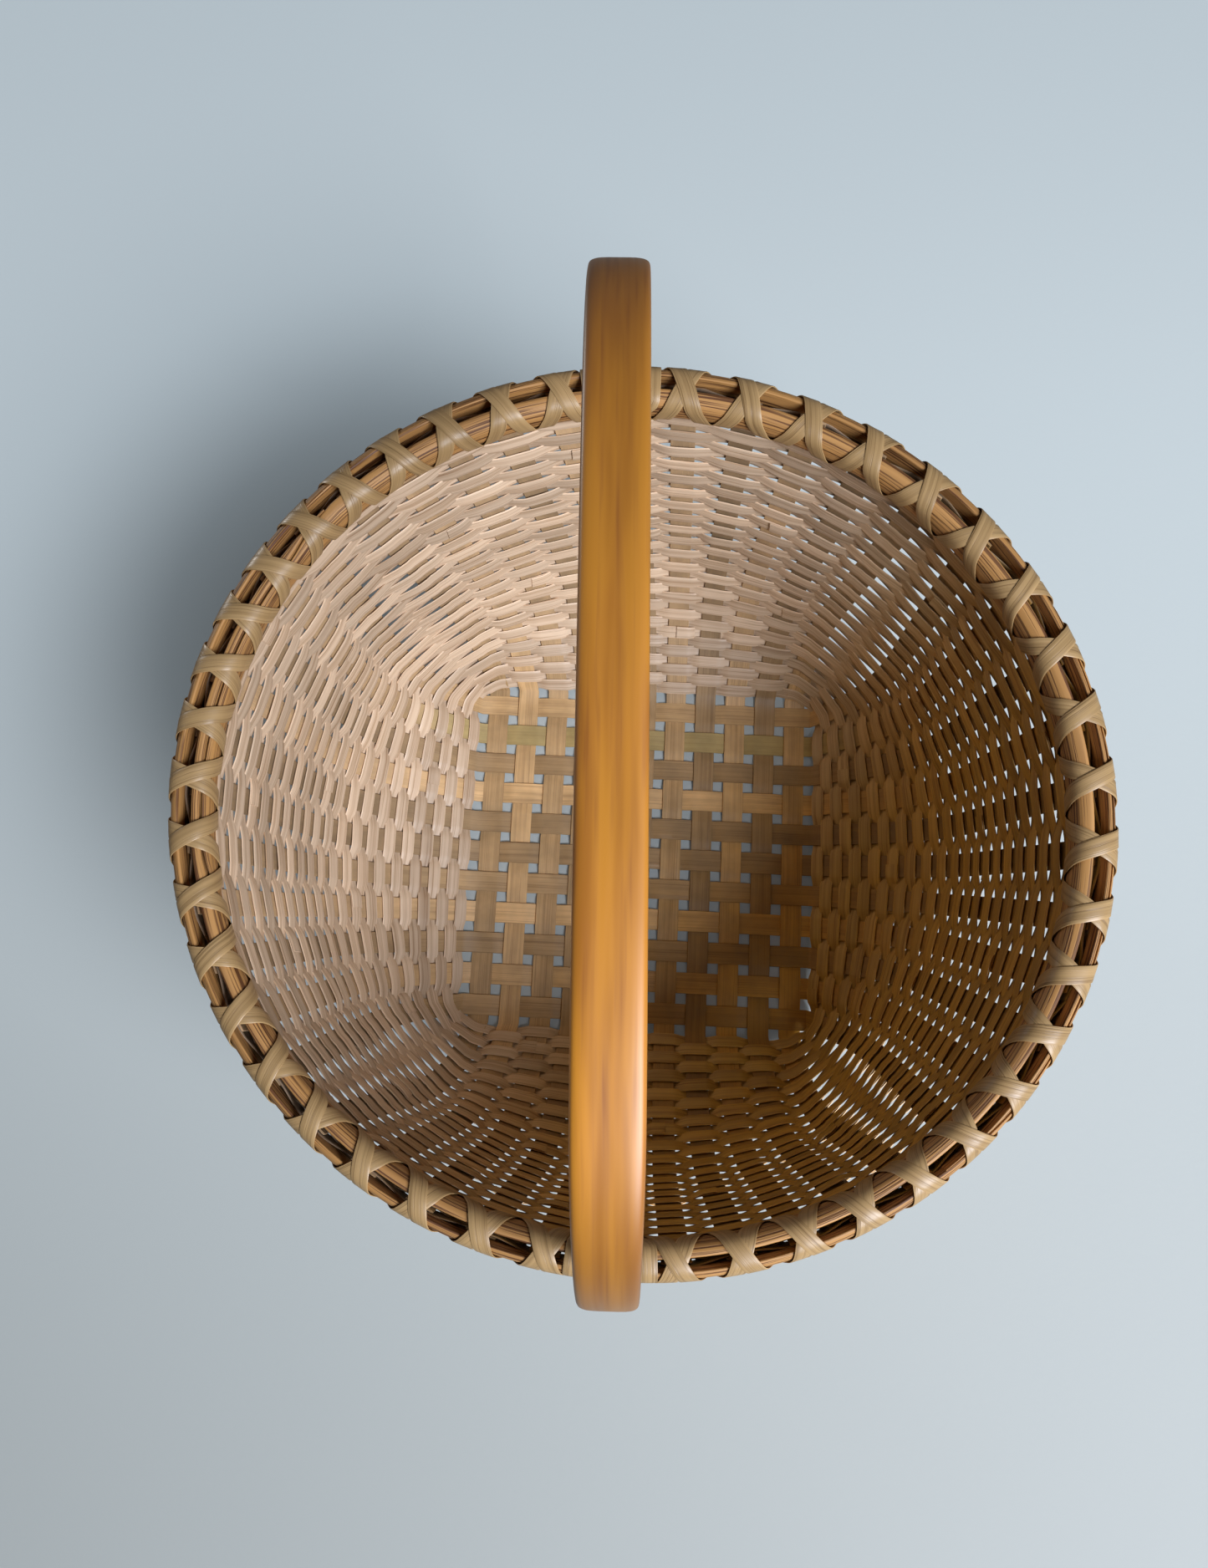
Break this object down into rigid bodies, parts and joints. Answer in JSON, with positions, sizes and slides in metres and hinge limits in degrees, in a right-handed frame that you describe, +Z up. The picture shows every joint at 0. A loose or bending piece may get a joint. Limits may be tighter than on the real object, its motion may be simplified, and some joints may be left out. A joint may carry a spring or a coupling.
{
  "type": "apple basket",
  "caption": "Splint apple basket with a square plaited base, woven walls, a round lashed hoop rim and a fixed carved bail handle.",
  "frame": {"origin": "centre of the underside of the base, on the surface that the basket stands on", "axes": "+Z up towards the handle; the handle runs along Y; X is level across the handle"},
  "size_m": [0.3874, 0.3789, 0.347],
  "materials": {
    "splint": "dry split ash, straight grain along each splint",
    "weaver": "pale split ash, slightly silky",
    "hoop": "bent ash with open brown grain",
    "lashing": "thin silky splint with a soft sheen",
    "handle": "carved honey-coloured wood, satin"
  },
  "bodies": {
    "root": {"long_splint_01": "splint", "cross_splint_01": "splint", "long_splint_02": "splint", "cross_splint_02": "splint", "long_splint_03": "splint", "cross_splint_03": "splint", "long_splint_04": "splint", "cross_splint_04": "splint", "long_splint_05": "splint", "cross_splint_05": "splint", "long_splint_06": "splint", "cross_splint_06": "splint", "long_splint_07": "splint", "cross_splint_07": "splint", "long_splint_08": "splint", "cross_splint_08": "splint", "long_splint_09": "splint", "cross_splint_09": "splint", "long_splint_10": "splint", "cross_splint_10": "splint", "long_splint_11": "splint", "cross_splint_11": "splint", "weaver_01": "weaver", "weaver_02": "weaver", "weaver_03": "weaver", "weaver_04": "weaver", "weaver_05": "weaver", "weaver_06": "weaver", "weaver_07": "weaver", "weaver_08": "weaver", "weaver_09": "weaver", "weaver_10": "weaver", "weaver_11": "weaver", "weaver_12": "weaver", "weaver_13": "weaver", "weaver_14": "weaver", "weaver_15": "weaver", "weaver_16": "weaver", "weaver_17": "weaver", "weaver_18": "weaver", "weaver_19": "weaver", "weaver_20": "weaver", "weaver_21": "weaver", "weaver_22": "weaver", "weaver_23": "weaver", "weaver_24": "weaver", "weaver_25": "weaver", "weaver_26": "weaver", "weaver_27": "weaver", "weaver_28": "weaver", "outer_hoop": "hoop", "inner_hoop": "hoop", "lashing_under": "lashing", "lashing_over": "lashing", "bail_handle": "handle"}
  },
  "joints": []
}
